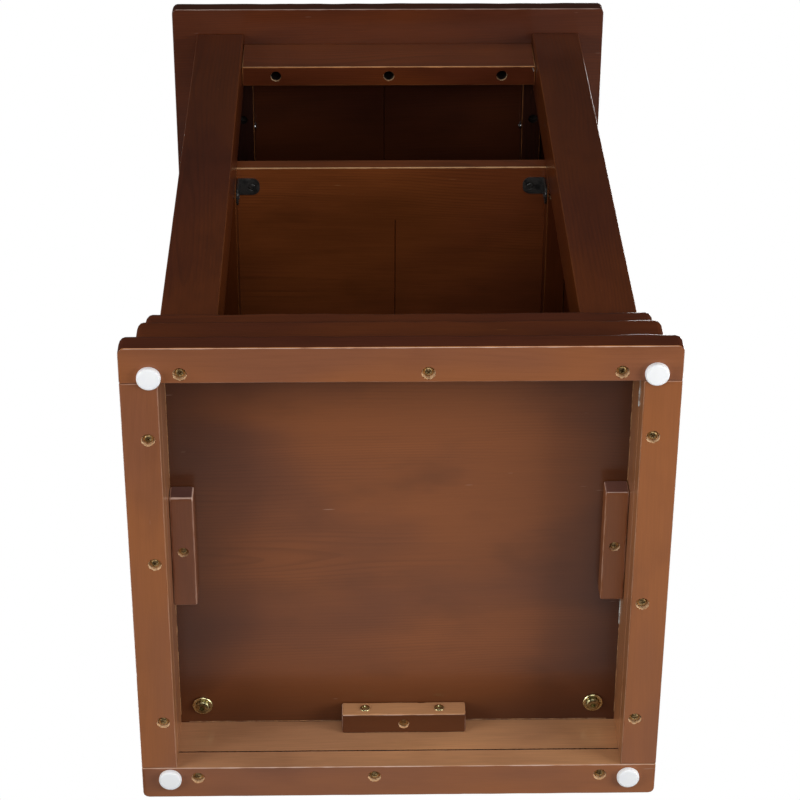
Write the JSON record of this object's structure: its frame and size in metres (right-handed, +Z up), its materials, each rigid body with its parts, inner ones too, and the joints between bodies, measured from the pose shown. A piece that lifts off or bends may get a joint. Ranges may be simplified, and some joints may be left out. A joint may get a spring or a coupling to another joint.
{
  "type": "pedestal cabinet",
  "caption": "Square open-fronted pedestal cabinet in dark stained wood, with a stepped plinth, corner posts, one fixed shelf and an overhanging top.",
  "frame": {"origin": "on the ground under the middle of the cabinet, level with the bottom of the glides", "axes": "+Z up; the open front faces -Y; X runs across the front, +X to the right seen from the front"},
  "size_m": [0.457, 0.4622, 0.7508],
  "materials": {
    "stained_wood": "satin lacquer over dark walnut stain",
    "inner_wood": "thin satin lacquer over dark walnut stain",
    "glide_plastic": "smooth moulded",
    "brass_screw": "dull plated",
    "yellow_zinc": "yellow zinc plate",
    "bright_steel": "bright zinc plate",
    "black_steel": "black paint"
  },
  "bodies": {
    "root": {"base_board_front": "stained_wood", "base_board_back": "stained_wood", "base_board_left": "stained_wood", "base_board_right": "stained_wood", "apron_front": "stained_wood", "apron_back": "stained_wood", "apron_left": "stained_wood", "apron_right": "stained_wood", "post_front_left": "stained_wood", "post_front_right": "stained_wood", "post_back_left": "stained_wood", "post_back_right": "stained_wood", "front_rail": "stained_wood", "top_slab": "stained_wood", "shelf": "stained_wood", "floor_board": "inner_wood", "floor_cleat_left": "inner_wood", "floor_cleat_right": "inner_wood", "floor_cleat_front": "inner_wood", "floor_cleat_back": "inner_wood", "side_panel_left": "inner_wood", "side_panel_right": "inner_wood", "back_panel": "inner_wood", "top_cleat_left": "inner_wood", "top_cleat_right": "inner_wood", "top_cleat_back": "inner_wood", "shelf_cleat_left": "inner_wood", "shelf_cleat_right": "inner_wood", "shelf_cleat_back": "inner_wood", "glide_front_left": "glide_plastic", "glide_front_right": "glide_plastic", "glide_back_left": "glide_plastic", "glide_back_right": "glide_plastic", "base_screw_01": "brass_screw", "base_screw_02": "brass_screw", "base_screw_03": "brass_screw", "base_screw_04": "brass_screw", "base_screw_05": "brass_screw", "base_screw_06": "brass_screw", "base_screw_07": "brass_screw", "base_screw_08": "brass_screw", "base_screw_09": "brass_screw", "base_screw_10": "brass_screw", "base_screw_11": "brass_screw", "base_screw_12": "brass_screw", "post_bolt_front_left": "yellow_zinc", "post_bolt_front_right": "yellow_zinc", "post_bolt_back_left": "yellow_zinc", "post_bolt_back_right": "yellow_zinc", "post_washer_front_left": "yellow_zinc", "post_washer_front_right": "yellow_zinc", "post_washer_back_left": "yellow_zinc", "post_washer_back_right": "yellow_zinc", "top_cleat_screw_left": "bright_steel", "top_cleat_screw_right": "bright_steel", "bracket_front_left": "black_steel", "bracket_front_right": "black_steel", "bracket_back_left": "black_steel", "bracket_back_right": "black_steel"}
  },
  "joints": []
}
